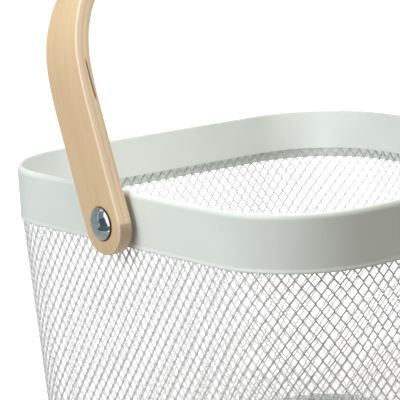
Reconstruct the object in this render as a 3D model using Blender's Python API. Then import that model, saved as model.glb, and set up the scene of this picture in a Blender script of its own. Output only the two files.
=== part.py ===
# Mesh basket with a bent wood handle, modelled in metres with +Z up.
# The origin is on the ground under the middle of the basket, the handle pivots lie on the X sides.

import math

import bmesh
import bpy
from mathutils import Vector

# Basket body
BODY_HEIGHT = 0.180
RIM_SIZE_X = 0.250
RIM_SIZE_Y = 0.260
CORNER_RADIUS = 0.0545
WALL_SLOPE = 0.073
BAND_SLOPE = 0.013

# Folded rim band, a sheet channel that grips the top edge of the mesh
BAND_SHEET = 0.0007
BAND_DROP_OUTSIDE = 0.0285
BAND_DROP_INSIDE = 0.0228
HEM_HEIGHT = 0.0017
HEM_TURN = 0.0005
FOLD_STEPS = 6
CORNER_STEPS = 8

# Expanded metal, drawn coarser than the real net
MESH_THICKNESS = 0.0008
WALL_CELL_HEIGHT = 0.033
WALL_STRAND = 0.0024
STRAND_TWIST = 0.0005
FLOOR_CELL_X = 0.026
FLOOR_CELL_Y = 0.036
FLOOR_STRAND = 0.0024
FLOOR_BORDER = 0.004
WALL_SELVEDGE = 0.003

# Foot hoop under the floor
HOOP_WIDTH = 0.006
HOOP_HEIGHT = 0.0035
HOOP_EDGE = 0.0006
WALL_LIFT = 0.001

# Pivot of the handle
PIVOT_DROP = 0.0155
SHANK_RADIUS = 0.0030
HEAD_RADIUS = 0.0089
HEAD_RISE = 0.0036
HEAD_EDGE = 0.0006
TAIL_RADIUS = 0.0048
TAIL_RISE = 0.0018
TAIL_EDGE = 0.0004
TAIL_CROWN_RADIUS = 0.0032
SPACER_RADIUS = 0.0065
WASHER_RADIUS = 0.0070
WASHER_THICKNESS = 0.0010

# Bent wood handle, drawn swung back from upright as in the photo
HANDLE_THICKNESS = 0.0080
HANDLE_WIDTH = 0.0296
HANDLE_END_MARGIN = 0.0012
HANDLE_ARRIS = 0.0010
HANDLE_GAP = 0.0024
HANDLE_SWING = math.radians(18.9)
LEG_FLARE = math.radians(1.1)
LEG_STRAIGHT = 0.0738
LEG_EASING_RADIUS = 0.212
LEG_EASING_TURN = math.radians(5.5)
BEND_RADIUS = 0.066
CROWN_ANGLE = math.radians(8.0)

# Clearances between pieces that touch or run on each other
SEAT_GAP = 0.0003
SHANK_GAP = 0.0003
WASHER_GAP = 0.00045

# Heights and depths that follow from the sizes above
HALF_X = RIM_SIZE_X / 2
HALF_Y = RIM_SIZE_Y / 2
BAND_WIDTH = 2 * BAND_SHEET + MESH_THICKNESS + 2 * SEAT_GAP
BAND_BOTTOM = BODY_HEIGHT - BAND_DROP_OUTSIDE
PIVOT_HEIGHT = BODY_HEIGHT - PIVOT_DROP
BORE_RADIUS = SHANK_RADIUS + SHANK_GAP
MESH_TOP = PIVOT_HEIGHT - BORE_RADIUS - SEAT_GAP
FLOOR_HEIGHT = HOOP_HEIGHT + SEAT_GAP
END_REACH = HANDLE_WIDTH / 2 + HANDLE_END_MARGIN


def clear_scene():
    for old in list(bpy.data.objects):
        bpy.data.objects.remove(old, do_unlink=True)


def make_material(name, color, roughness, metallic):
    material = bpy.data.materials.new(name)
    material.use_nodes = True
    shader = material.node_tree.nodes["Principled BSDF"]
    shader.inputs["Base Color"].default_value = (*color, 1.0)
    shader.inputs["Roughness"].default_value = roughness
    shader.inputs["Metallic"].default_value = metallic
    material.diffuse_color = (*color, 1.0)
    return material


def add_piece(name, bm, material, origin=(0, 0, 0), parent=None, sharp_angle=35):
    # The mesh arrives in world places and is shifted so that its origin is where it is asked for.
    bmesh.ops.remove_doubles(bm, verts=bm.verts, dist=1e-7)
    bmesh.ops.recalc_face_normals(bm, faces=bm.faces)
    bmesh.ops.translate(bm, verts=bm.verts, vec=-Vector(origin))
    mesh = bpy.data.meshes.new(name)
    bm.to_mesh(mesh)
    bm.free()
    mesh.shade_smooth()
    mesh.set_sharp_from_angle(angle=math.radians(sharp_angle))
    piece = bpy.data.objects.new(name, mesh)
    if material:
        mesh.materials.append(material)
    bpy.context.collection.objects.link(piece)
    if parent:
        piece.parent = parent
    else:
        piece.location = origin
    return piece


def mark_cutter(cutter):
    cutter.hide_render = True
    cutter.display_type = "WIRE"


def cut(piece, cutter, operation="DIFFERENCE"):
    boolean = piece.modifiers.new(cutter.name, "BOOLEAN")
    boolean.object = cutter
    boolean.operation = operation
    boolean.solver = "EXACT"


# Rounded square outline: each station is a place on the rim and the way out from there.
# Every level of the basket is this outline moved in along those normals.

def outline_stations(corner_steps, steps_x, steps_y):
    stations = []
    corner_signs = ((1, 1), (-1, 1), (-1, -1), (1, -1))
    for corner, (sign_x, sign_y) in enumerate(corner_signs):
        centre = Vector((sign_x * (HALF_X - CORNER_RADIUS), sign_y * (HALF_Y - CORNER_RADIUS), 0))
        for step in range(corner_steps + 1):
            angle = math.radians(90) * (corner + step / corner_steps)
            normal = Vector((math.cos(angle), math.sin(angle), 0))
            stations.append((centre + CORNER_RADIUS * normal, normal))
        along_x = corner % 2 == 0
        side_steps = steps_x if along_x else steps_y
        side_length = 2 * ((HALF_X if along_x else HALF_Y) - CORNER_RADIUS)
        start, normal = stations[-1]
        direction = Vector((-normal.y, normal.x, 0))
        for step in range(1, side_steps):
            stations.append((start + direction * side_length * step / side_steps, normal))
    return stations


def place(station, inset, height):
    point, normal = station
    return point - normal * inset + Vector((0, 0, height))


def half_cell():
    # Half a cell of the wall net is one step round a corner, so band and net have the same facets.
    return CORNER_RADIUS * math.radians(90) / CORNER_STEPS


def steps_along(half_size):
    return max(2, round(2 * (half_size - CORNER_RADIUS) / half_cell()))


def band_inset(height):
    return BAND_SLOPE * (BODY_HEIGHT - height)


def wall_inset(height):
    # Outer face of the net: upright in the band, then leaning in below it.
    inside_band = BAND_SHEET + SEAT_GAP
    if height >= BAND_BOTTOM:
        return inside_band + band_inset(height)
    return inside_band + band_inset(BAND_BOTTOM) + WALL_SLOPE * (BAND_BOTTOM - height)


def sweep_profile(bm, stations, profile):
    # A closed profile of (inset, height) points carried round the outline.
    rings = [[bm.verts.new(place(station, inset, height)) for station in stations]
             for inset, height in profile]
    for index, ring in enumerate(rings):
        following = rings[(index + 1) % len(rings)]
        for step in range(len(ring)):
            after = (step + 1) % len(ring)
            bm.faces.new((ring[step], ring[after], following[after], following[step]))


# Rim band

def fold_arc(radius, steps, outward):
    # Half circle over the top edge, from outside to inside or back.
    centre_inset = BAND_WIDTH / 2
    centre_height = BODY_HEIGHT - BAND_WIDTH / 2
    points = []
    for step in range(steps + 1):
        angle = math.pi * step / steps
        side = -math.cos(angle) if outward else math.cos(angle)
        points.append((centre_inset + side * radius, centre_height + math.sin(angle) * radius))
    return points


def band_profile():
    inside_bottom = BODY_HEIGHT - BAND_DROP_INSIDE
    edge = BAND_SHEET / 2
    points = [(HEM_TURN, BAND_BOTTOM), (0, BAND_BOTTOM + HEM_HEIGHT)]
    points += fold_arc(BAND_WIDTH / 2, FOLD_STEPS, True)
    points += [(BAND_WIDTH, inside_bottom + edge), (BAND_WIDTH - edge, inside_bottom)]
    points += [(BAND_WIDTH - BAND_SHEET, inside_bottom)]
    points += fold_arc(BAND_WIDTH / 2 - BAND_SHEET, FOLD_STEPS // 2, False)
    points += [(BAND_SHEET, BAND_BOTTOM)]
    return [(inset + band_inset(height), height) for inset, height in points]


def build_rim_band(material, bore_cutter):
    bm = bmesh.new()
    sweep_profile(bm, outline_stations(CORNER_STEPS, 1, 1), band_profile())
    band = add_piece("rim_band", bm, material)
    cut(band, bore_cutter)


# Expanded metal wall

def wall_point(stations, along, height, depth):
    # A place on the wall at a fractional station number, on the flat panel between two stations.
    low = math.floor(along)
    share = along - low
    inset = wall_inset(height) + depth
    first = place(stations[low % len(stations)], inset, height)
    second = place(stations[(low + 1) % len(stations)], inset, height)
    return first.lerp(second, share)


def hole_shrink(half_width, half_height, strand):
    reach = half_width * half_height / math.hypot(half_width, half_height)
    return (reach - strand / 2) / reach


def strand_twist(height):
    # The upper tip of a hole is pushed out and the lower tip in, so each strand lies at a slant,
    # except where the band or the floor holds the net flat.
    floor_grip = FLOOR_HEIGHT + MESH_THICKNESS + WALL_SELVEDGE
    return STRAND_TWIST if floor_grip < height < BAND_BOTTOM else 0


def wall_rows():
    net_height = MESH_TOP - WALL_LIFT - 2 * WALL_SELVEDGE
    return max(3, round(net_height / (WALL_CELL_HEIGHT / 2)) - 1)


def build_mesh_wall(material):
    stations = outline_stations(CORNER_STEPS, steps_along(HALF_X), steps_along(HALF_Y))
    columns = len(stations) // 2
    rows = wall_rows()
    row_step = (MESH_TOP - WALL_LIFT - 2 * WALL_SELVEDGE) / (rows + 1)
    shrink = hole_shrink(half_cell(), row_step, WALL_STRAND)
    bm = bmesh.new()
    layers = []
    for depth in (0, MESH_THICKNESS):
        holes = {}
        for row in range(rows):
            height = WALL_LIFT + WALL_SELVEDGE + (row + 1) * row_step
            for column in range(columns):
                middle = 2 * column + row % 2
                tip = shrink * row_step
                high = height + tip
                low = height - tip
                corners = {"left": (-shrink, height, 0), "right": (shrink, height, 0),
                           "low": (0, low, strand_twist(low)), "high": (0, high, -strand_twist(high))}
                holes[row, middle] = {
                    side: bm.verts.new(wall_point(stations, middle + along, level, depth + sunk))
                    for side, (along, level, sunk) in corners.items()}
        edges = {(at, station): bm.verts.new(wall_point(stations, station, height, depth))
                 for at, height in (("foot", WALL_LIFT), ("top", MESH_TOP))
                 for station in range(2 * columns)}
        layers.append((holes, edges))
    for holes, edges in layers:
        net_faces(bm, holes, edges, rows, columns)
    join_layers(bm, layers, rows, columns)
    add_piece("mesh_wall", bm, material, sharp_angle=25)


def net_faces(bm, holes, edges, rows, columns):
    # Bonds and strands between the holes of one face of the net, then the selvedges.
    around = 2 * columns
    for (row, middle), hole in holes.items():
        beside = holes[row, (middle + 2) % around]
        above = holes.get((row + 1, (middle + 1) % around))
        below = holes.get((row - 1, (middle + 1) % around))
        high = above["low"] if above else edges["top", (middle + 1) % around]
        low = below["high"] if below else edges["foot", (middle + 1) % around]
        bm.faces.new((hole["right"], low, high))
        bm.faces.new((beside["left"], high, low))
        if above:
            bm.faces.new((hole["right"], high, above["left"], hole["high"]))
            before = holes[row + 1, (middle - 1) % around]
            bm.faces.new((hole["left"], hole["high"], before["right"], before["low"]))
        for at, neighbour, side in (("top", above, "high"), ("foot", below, "low")):
            if neighbour:
                continue
            over = edges[at, middle]
            bm.faces.new((hole[side], over, edges[at, (middle + 1) % around], hole["right"]))
            bm.faces.new((over, hole[side], hole["left"], edges[at, (middle - 1) % around]))


def join_layers(bm, layers, rows, columns):
    # Walls of each hole and the cut edges at top and foot.
    (outer_holes, outer_edges), (inner_holes, inner_edges) = layers
    for key, outer in outer_holes.items():
        inner = inner_holes[key]
        sides = ("left", "low", "right", "high")
        for index, side in enumerate(sides):
            following = sides[(index + 1) % len(sides)]
            bm.faces.new((outer[side], outer[following], inner[following], inner[side]))
    around = 2 * columns
    for (at, station), vertex in outer_edges.items():
        after = (at, (station + 1) % around)
        bm.faces.new((vertex, outer_edges[after], inner_edges[after], inner_edges[at, station]))


# Floor net and the hoop that it rests on

def foot_inset():
    return wall_inset(0) + MESH_THICKNESS + SEAT_GAP


def inside_outline(x, y, inset):
    half_x = HALF_X - inset
    half_y = HALF_Y - inset
    radius = CORNER_RADIUS - inset
    over_x = max(0, abs(x) - (half_x - radius))
    over_y = max(0, abs(y) - (half_y - radius))
    return math.hypot(over_x, over_y) <= radius


def floor_hole_centres():
    half_x = FLOOR_CELL_X / 2
    half_y = FLOOR_CELL_Y / 2
    limit = foot_inset() + FLOOR_BORDER
    reach_x = math.ceil(HALF_X / half_x)
    reach_y = math.ceil(HALF_Y / half_y)
    for column in range(-reach_x, reach_x + 1):
        for row in range(-reach_y, reach_y + 1):
            if (column + row) % 2:
                continue
            x = column * half_x
            y = row * half_y
            tips = ((x - half_x, y), (x + half_x, y), (x, y - half_y), (x, y + half_y))
            if all(inside_outline(tip_x, tip_y, limit) for tip_x, tip_y in tips):
                yield x, y


def build_mesh_floor(material):
    stations = outline_stations(CORNER_STEPS, 1, 1)
    bm = bmesh.new()
    levels = (FLOOR_HEIGHT, FLOOR_HEIGHT + MESH_THICKNESS)
    rings = [[bm.verts.new(place(station, foot_inset(), height)) for station in stations]
             for height in levels]
    bm.faces.new(reversed(rings[0]))
    bm.faces.new(rings[1])
    bmesh.ops.bridge_loops(bm, edges=[edge for edge in bm.edges])
    floor = add_piece("mesh_floor", bm, material)
    cutter = build_floor_cutter()
    cut(floor, cutter)


def build_floor_cutter():
    half_x = FLOOR_CELL_X / 2
    half_y = FLOOR_CELL_Y / 2
    shrink = hole_shrink(half_x, half_y, FLOOR_STRAND)
    bm = bmesh.new()
    for x, y in floor_hole_centres():
        tips = ((x + half_x * shrink, y), (x, y + half_y * shrink),
                (x - half_x * shrink, y), (x, y - half_y * shrink))
        face = bm.faces.new([bm.verts.new((tip_x, tip_y, 0)) for tip_x, tip_y in tips])
        extruded = bmesh.ops.extrude_face_region(bm, geom=[face])
        raised = [item for item in extruded["geom"] if isinstance(item, bmesh.types.BMVert)]
        bmesh.ops.translate(bm, verts=raised, vec=(0, 0, 2 * FLOOR_HEIGHT + MESH_THICKNESS))
    cutter = add_piece("floor_holes", bm, None)
    mark_cutter(cutter)
    return cutter


def build_base_hoop(material):
    outer = foot_inset()
    inner = outer + HOOP_WIDTH
    edge = HOOP_EDGE
    profile = ((outer + edge, 0), (outer, edge), (outer, HOOP_HEIGHT - edge), (outer + edge, HOOP_HEIGHT),
               (inner - edge, HOOP_HEIGHT), (inner, HOOP_HEIGHT - edge), (inner, edge), (inner - edge, 0))
    bm = bmesh.new()
    sweep_profile(bm, outline_stations(CORNER_STEPS, 1, 1), profile)
    add_piece("base_hoop", bm, material)


# Handle strap: its centre line in the XZ plane, from one end over the crown to the other

def handle_start():
    # The foot of the inner face clears the band, and the strap leans out from there.
    end_height = PIVOT_HEIGHT - END_REACH * math.cos(LEG_FLARE)
    inner = Vector((HALF_X + HANDLE_GAP, 0, end_height))
    outward = Vector((math.cos(LEG_FLARE), 0, -math.sin(LEG_FLARE)))
    return inner + outward * HANDLE_THICKNESS / 2


def handle_bends():
    # Length and curvature of each stretch of half the centre line.
    easing_length = LEG_EASING_RADIUS * LEG_EASING_TURN
    bend_turn = math.radians(90) - CROWN_ANGLE + LEG_FLARE - LEG_EASING_TURN
    bend_length = BEND_RADIUS * bend_turn
    return ((LEG_STRAIGHT, 0), (easing_length, 1 / LEG_EASING_RADIUS), (bend_length, 1 / BEND_RADIUS))


def handle_point(distance):
    # Place and lean of the centre line at a distance from the end of the +X leg.
    point = handle_start()
    lean = LEG_FLARE
    left = distance
    for length, curvature in handle_bends():
        point, lean = advance(point, lean, min(left, length), curvature)
        left -= min(left, length)
    crown_radius = point.x / math.sin(CROWN_ANGLE)
    if left > 0:
        point, lean = advance(point, lean, left, 1 / crown_radius)
    return point, lean


def advance(point, lean, length, curvature):
    # Lean is measured from upright, outward first, and turns inward along the path.
    if curvature == 0:
        return point + Vector((math.sin(lean), 0, math.cos(lean))) * length, lean
    radius = 1 / curvature
    turned = lean - length * curvature
    centre = point - Vector((math.cos(lean), 0, -math.sin(lean))) * radius
    return centre + Vector((math.cos(turned), 0, -math.sin(turned))) * radius, turned


def half_handle_length():
    bends = handle_bends()
    along = sum(length for length, curvature in bends)
    crown_start, lean = handle_point(along)
    return along + crown_start.x / math.sin(CROWN_ANGLE) * CROWN_ANGLE


def handle_width(distance):
    end_radius = HANDLE_WIDTH / 2
    if distance < end_radius:
        return 2 * math.sqrt(end_radius ** 2 - (end_radius - distance) ** 2)
    return HANDLE_WIDTH


def handle_distances():
    # Stations along half the strap: the round end by angle, then each stretch by its bend.
    end_radius = HANDLE_WIDTH / 2
    round_steps = 9
    distances = [end_radius * (1 - math.cos(math.radians(90) * step / round_steps))
                 for step in range(1, round_steps + 1)]
    steps_per_bend = (1, 3, 12)
    reached = 0
    for (length, curvature), steps in zip(handle_bends(), steps_per_bend):
        for step in range(1, steps + 1):
            distance = reached + length * step / steps
            if distance > distances[-1]:
                distances.append(distance)
        reached += length
    crown_steps = 4
    crown_length = half_handle_length() - reached
    distances += [reached + crown_length * step / crown_steps for step in range(1, crown_steps + 1)]
    return distances


def strap_section(width):
    # Section points as (across, outward), with the arrises taken off.
    half = width / 2
    thick = HANDLE_THICKNESS / 2
    arris = min(HANDLE_ARRIS, half / 2)
    slack = arris * (1 - math.sqrt(0.5))
    corner = ((half, thick - arris), (half - slack, thick - slack), (half - arris, thick))
    points = list(corner)
    points += [(-across, outward) for across, outward in reversed(corner)]
    points += [(-across, -outward) for across, outward in corner]
    points += [(across, -outward) for across, outward in reversed(corner)]
    return points


def build_handle(material, bore_cutter, parent, origin):
    half = handle_distances()
    sections = [(distance, 1) for distance in half]
    sections += [(distance, -1) for distance in reversed(half[:-1])]
    bm = bmesh.new()
    rings = []
    for distance, side in sections:
        centre, lean = handle_point(distance)
        outward = Vector((math.cos(lean), 0, -math.sin(lean)))
        ring = []
        for across, out in strap_section(handle_width(distance)):
            point = centre + outward * out
            ring.append(bm.verts.new((point.x * side, across, point.z)))
        rings.append(ring)
    for ring, following in zip(rings, rings[1:]):
        for index in range(len(ring)):
            after = (index + 1) % len(ring)
            bm.faces.new((ring[index], ring[after], following[after], following[index]))
    bm.faces.new(rings[0])
    bm.faces.new(rings[-1])
    handle = add_piece("handle", bm, material, origin, parent, sharp_angle=50)
    cut(handle, bore_cutter)


# Pivot hardware on the X axis line through both ends of the handle

def turned_mesh(bm, profile, side, steps=24):
    # A solid of revolution round the pivot line, from (reach along X, radius) points.
    rings = []
    for reach, radius in profile:
        ring = []
        for step in range(steps):
            angle = math.tau * step / steps
            ring.append(bm.verts.new((side * reach, radius * math.cos(angle),
                                      PIVOT_HEIGHT + radius * math.sin(angle))))
        rings.append(ring)
    for ring, following in zip(rings, rings[1:]):
        for index in range(steps):
            after = (index + 1) % steps
            bm.faces.new((ring[index], ring[after], following[after], following[index]))
    return rings


def strap_face_at_pivot(depth):
    # Where the pivot line crosses the strap, at a depth from its centre line along its normal.
    centre, lean = handle_point(END_REACH)
    middle = centre.x + math.tan(lean) * (PIVOT_HEIGHT - centre.z)
    return middle + depth / math.cos(lean)


def build_bore_cutter():
    reach = HALF_X + HANDLE_WIDTH
    bm = bmesh.new()
    rings = turned_mesh(bm, ((-reach, BORE_RADIUS), (reach, BORE_RADIUS)), 1)
    bm.faces.new(rings[0])
    bm.faces.new(rings[-1])
    cutter = add_piece("pivot_bores", bm, None)
    mark_cutter(cutter)
    return cutter


def head_profile():
    # Height above the seat and radius of the domed head, from rim to crown.
    sphere = (HEAD_RADIUS ** 2 + HEAD_RISE ** 2) / (2 * HEAD_RISE)
    opening = math.asin(HEAD_RADIUS / sphere)
    steps = 5
    points = [(0, HEAD_RADIUS)]
    for step in range(steps):
        angle = opening * (1 - step / steps)
        rise = HEAD_EDGE + sphere * (math.cos(angle) - math.cos(opening))
        points.append((rise, sphere * math.sin(angle)))
    return points, HEAD_EDGE + HEAD_RISE


def build_rivet_head(name, side, parent, origin):
    # The head sits square on the leaning outer face of the strap.
    seat = strap_face_at_pivot(HANDLE_THICKNESS / 2 + SEAT_GAP)
    base = Vector((side * seat, 0, PIVOT_HEIGHT))
    outward = Vector((side * math.cos(LEG_FLARE), 0, -math.sin(LEG_FLARE)))
    upward = Vector((side * math.sin(LEG_FLARE), 0, math.cos(LEG_FLARE)))
    across = Vector((0, 1, 0))
    points, top = head_profile()
    steps = 28
    bm = bmesh.new()
    rings = []
    for rise, radius in points:
        ring = []
        for step in range(steps):
            angle = math.tau * step / steps
            ring.append(bm.verts.new(base + outward * rise + across * radius * math.cos(angle)
                                     + upward * radius * math.sin(angle)))
        rings.append(ring)
    for ring, following in zip(rings, rings[1:]):
        for index in range(steps):
            after = (index + 1) % steps
            bm.faces.new((ring[index], ring[after], following[after], following[index]))
    bm.faces.new(rings[0])
    crown = bm.verts.new(base + outward * top)
    for index in range(steps):
        bm.faces.new((rings[-1][index], rings[-1][(index + 1) % steps], crown))
    head = add_piece(name, bm, None, origin, parent)
    mark_cutter(head)
    return head


def washer_face():
    # Reach of the washer's face next to the inner leg of the band.
    return HALF_X - band_inset(PIVOT_HEIGHT) - BAND_WIDTH - WASHER_GAP


def build_rivet(name, side, material, parent, origin):
    tail_seat = washer_face() - WASHER_THICKNESS - SEAT_GAP
    shank_end = strap_face_at_pivot(HANDLE_THICKNESS / 2 + SEAT_GAP) + HEAD_RISE / 2
    bm = bmesh.new()
    profile = ((tail_seat - TAIL_RISE, TAIL_CROWN_RADIUS),
               (tail_seat - TAIL_RISE / 2, (TAIL_RADIUS + TAIL_CROWN_RADIUS) / 2),
               (tail_seat - TAIL_EDGE, TAIL_RADIUS), (tail_seat, TAIL_RADIUS),
               (tail_seat, SHANK_RADIUS), (shank_end, SHANK_RADIUS))
    rings = turned_mesh(bm, profile, side)
    bm.faces.new(rings[0])
    bm.faces.new(rings[-1])
    rivet = add_piece(name, bm, material, origin, parent)
    cut(rivet, build_rivet_head(name + "_head", side, parent, origin), "UNION")


def build_washer(name, side, material):
    face = washer_face()
    profile = ((face, BORE_RADIUS), (face, WASHER_RADIUS),
               (face - WASHER_THICKNESS, WASHER_RADIUS), (face - WASHER_THICKNESS, BORE_RADIUS),
               (face, BORE_RADIUS))
    bm = bmesh.new()
    turned_mesh(bm, profile, side)
    add_piece(name, bm, material)


def build_spacer(name, side, material, parent, origin):
    # A wedge shaped bush: flat against the band, sloped against the leaning strap.
    flat = HALF_X - band_inset(PIVOT_HEIGHT + SPACER_RADIUS) + SEAT_GAP
    sloped = strap_face_at_pivot(-HANDLE_THICKNESS / 2) - SEAT_GAP
    steps = 24
    bm = bmesh.new()
    rings = []
    for radius, at_strap in ((BORE_RADIUS, False), (SPACER_RADIUS, False),
                             (SPACER_RADIUS, True), (BORE_RADIUS, True)):
        ring = []
        for step in range(steps):
            angle = math.tau * step / steps
            rise = radius * math.sin(angle)
            reach = sloped + rise * math.tan(LEG_FLARE) if at_strap else flat
            ring.append(bm.verts.new((side * reach, radius * math.cos(angle), PIVOT_HEIGHT + rise)))
        rings.append(ring)
    for index, ring in enumerate(rings):
        following = rings[(index + 1) % len(rings)]
        for step in range(steps):
            after = (step + 1) % steps
            bm.faces.new((ring[step], ring[after], following[after], following[step]))
    add_piece(name, bm, material, origin, parent)


def build_handle_axis():
    # What swings is built with the handle upright, and this empty on the pivot line leans it to +Y.
    axis = bpy.data.objects.new("handle_axis", None)
    axis.location = (0, 0, PIVOT_HEIGHT)
    axis.rotation_euler = (-HANDLE_SWING, 0, 0)
    bpy.context.collection.objects.link(axis)
    return axis


def build_basket():
    clear_scene()
    paint = make_material("pale_powder_coat", (0.66, 0.70, 0.66), 0.45, 0.0)
    net_paint = make_material("pale_net_coat", (0.62, 0.66, 0.63), 0.5, 0.0)
    wood = make_material("birch_laminate", (0.72, 0.52, 0.30), 0.5, 0.0)
    steel = make_material("bright_steel", (0.55, 0.57, 0.59), 0.25, 1.0)
    plastic = make_material("pale_nylon", (0.75, 0.75, 0.72), 0.5, 0.0)
    bore_cutter = build_bore_cutter()
    build_rim_band(paint, bore_cutter)
    build_mesh_wall(net_paint)
    build_mesh_floor(net_paint)
    build_base_hoop(paint)
    axis = build_handle_axis()
    pivot = (0, 0, PIVOT_HEIGHT)
    build_handle(wood, bore_cutter, axis, pivot)
    for name, side in (("left", -1), ("right", 1)):
        build_rivet("rivet_" + name, side, steel, axis, pivot)
        build_spacer("spacer_" + name, side, plastic, axis, pivot)
        build_washer("washer_" + name, side, steel)


build_basket()
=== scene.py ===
import math

import bmesh
import bpy
from mathutils import Matrix, Vector


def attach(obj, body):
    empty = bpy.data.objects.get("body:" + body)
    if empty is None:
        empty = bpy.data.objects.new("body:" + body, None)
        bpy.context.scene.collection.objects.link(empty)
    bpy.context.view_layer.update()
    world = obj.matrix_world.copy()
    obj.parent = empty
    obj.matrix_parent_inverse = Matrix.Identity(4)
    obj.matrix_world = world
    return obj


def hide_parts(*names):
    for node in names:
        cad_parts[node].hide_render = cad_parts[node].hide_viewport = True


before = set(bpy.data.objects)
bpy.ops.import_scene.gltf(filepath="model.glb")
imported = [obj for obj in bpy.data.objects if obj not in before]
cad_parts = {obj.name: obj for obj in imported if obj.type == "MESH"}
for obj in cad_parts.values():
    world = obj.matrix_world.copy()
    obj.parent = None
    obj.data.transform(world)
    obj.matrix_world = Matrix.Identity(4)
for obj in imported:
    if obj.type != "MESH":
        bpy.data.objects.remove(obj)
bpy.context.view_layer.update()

# how close two verts count as one, and as level with each other
sameSpot = 1e-6
nearSpot = 1e-5


# Small helpers: selecting by place, as the mouse would, and the steps that several pieces share

def clearSelection():
    if bpy.context.mode != "OBJECT":
        bpy.ops.object.mode_set(mode="OBJECT")
    bpy.ops.object.select_all(action="DESELECT")
    bpy.context.view_layer.objects.active = None


def nameActive(name):
    piece = bpy.context.active_object
    piece.name = name
    piece.data.name = name
    return piece


def makeActive(piece):
    clearSelection()
    piece.select_set(True)
    bpy.context.view_layer.objects.active = piece


def startEditing(piece, kind="FACE"):
    makeActive(piece)
    bpy.ops.object.mode_set(mode="EDIT")
    bpy.ops.mesh.select_mode(type=kind)
    bpy.ops.mesh.select_all(action="DESELECT")
    return piece


def stopEditing():
    bpy.ops.object.mode_set(mode="OBJECT")


def selectAll(kind=None):
    if kind:
        bpy.ops.mesh.select_mode(type=kind)
    bpy.ops.mesh.select_all(action="SELECT")


def pick(piece, kind, test):
    # selects the faces, edges or verts that pass the test, nothing else
    bpy.ops.mesh.select_mode(type=kind)
    bpy.ops.mesh.select_all(action="DESELECT")
    shape = bmesh.from_edit_mesh(piece.data)
    for item in {"FACE": shape.faces, "EDGE": shape.edges, "VERT": shape.verts}[kind]:
        if test(item):
            item.select_set(True)
    bmesh.update_edit_mesh(piece.data)


def applyPlace(piece):
    makeActive(piece)
    bpy.ops.object.transform_apply(location=True, rotation=True, scale=True)


def finishPiece(piece, body, material, smoothAngle, replaced):
    applyPlace(piece)
    bpy.ops.object.shade_smooth_by_angle(angle=math.radians(smoothAngle))
    piece.data.materials.clear()
    piece.data.materials.append(material)
    clearSelection()
    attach(piece, body)
    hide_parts(replaced)
    triangles = sum(len(face.vertices) - 2 for face in piece.data.polygons)
    print("made", piece.name, triangles, "triangles")


def modify(piece, name, kind, **settings):
    # adds a modifier, sets it and applies it
    modifier = piece.modifiers.new(name, kind)
    for key, value in settings.items():
        setattr(modifier, key, value)
    makeActive(piece)
    bpy.ops.object.modifier_apply(modifier=modifier.name)


def cutWith(piece, name, cutter, operation):
    modify(piece, name, "BOOLEAN", operation=operation, solver="EXACT", object=cutter)
    bpy.data.objects.remove(cutter, do_unlink=True)


def bevelEdges(piece, name, width, steps, angle):
    modify(piece, name, "BEVEL", width=width, segments=steps, limit_method="ANGLE",
           angle_limit=math.radians(angle))


def weld(reach=sameSpot):
    selectAll("VERT")
    bpy.ops.mesh.remove_doubles(threshold=reach)


def faceOutward():
    selectAll()
    bpy.ops.mesh.normals_make_consistent(inside=False)


def tidyNormals(piece):
    startEditing(piece, "VERT")
    weld()
    faceOutward()
    stopEditing()


def joinPieces(first, second):
    clearSelection()
    for piece in (first, second):
        piece.select_set(True)
    bpy.context.view_layer.objects.active = first
    bpy.ops.object.join()


def extrude(offset):
    bpy.ops.mesh.extrude_region_move(TRANSFORM_OT_translate={"value": offset})


def startSpin(name, place):
    # a piece of one vert, for a line that is extruded from it and spun round Z
    bpy.ops.mesh.primitive_plane_add(size=1, location=(0, 0, 0))
    piece = nameActive(name)
    startEditing(piece, "VERT")
    selectAll()
    bpy.ops.mesh.merge(type="CENTER")
    bpy.ops.transform.translate(value=place)
    return piece


def spinRound(steps):
    selectAll()
    bpy.ops.mesh.spin(steps=steps, angle=math.tau, center=(0, 0, 0), axis=(0, 0, 1))


def quarterTurn(steps, first=0):
    # (cosine, sine) pairs from 0 to 90 degrees
    angles = [math.pi / 2 * step / steps for step in range(first, steps + 1)]
    return [(math.cos(angle), math.sin(angle)) for angle in angles]


# Shader helpers

def addNode(tree, kind, x, y, **settings):
    node = tree.nodes.new(kind)
    node.location = (x, y)
    for key, value in settings.items():
        setattr(node, key, value)
    return node


def setInputs(node, **values):
    for key, value in values.items():
        node.inputs[key.replace("_", " ")].default_value = value


def mathNode(tree, operation, x, y, first, second=None, third=None, clamp=False):
    node = addNode(tree, "ShaderNodeMath", x, y, operation=operation, use_clamp=clamp)
    for index, value in enumerate((first, second, third)):
        if value is None:
            continue
        if isinstance(value, (int, float)):
            node.inputs[index].default_value = value
        else:
            tree.links.new(value, node.inputs[index])
    return node.outputs[0]


def mixColor(tree, x, y, factor, first, second):
    node = addNode(tree, "ShaderNodeMix", x, y, data_type="RGBA")
    for socket, value in ((node.inputs[0], factor), (node.inputs[6], first), (node.inputs[7], second)):
        if isinstance(value, (int, float)):
            socket.default_value = value
        elif isinstance(value, tuple):
            socket.default_value = (*value, 1)
        else:
            tree.links.new(value, socket)
    return node.outputs[2]


def rangeNode(tree, x, y, value, fromLow, fromHigh, toLow=0.0, toHigh=1.0):
    node = addNode(tree, "ShaderNodeMapRange", x, y, interpolation_type="SMOOTHSTEP")
    tree.links.new(value, node.inputs["Value"])
    setInputs(node, From_Min=fromLow, From_Max=fromHigh, To_Min=toLow, To_Max=toHigh)
    return node.outputs["Result"]


def readMap(tree, name, x, y):
    layer = addNode(tree, "ShaderNodeUVMap", x, y, uv_map=name)
    split = addNode(tree, "ShaderNodeSeparateXYZ", x + 200, y)
    tree.links.new(layer.outputs["UV"], split.inputs[0])
    return split.outputs


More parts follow.
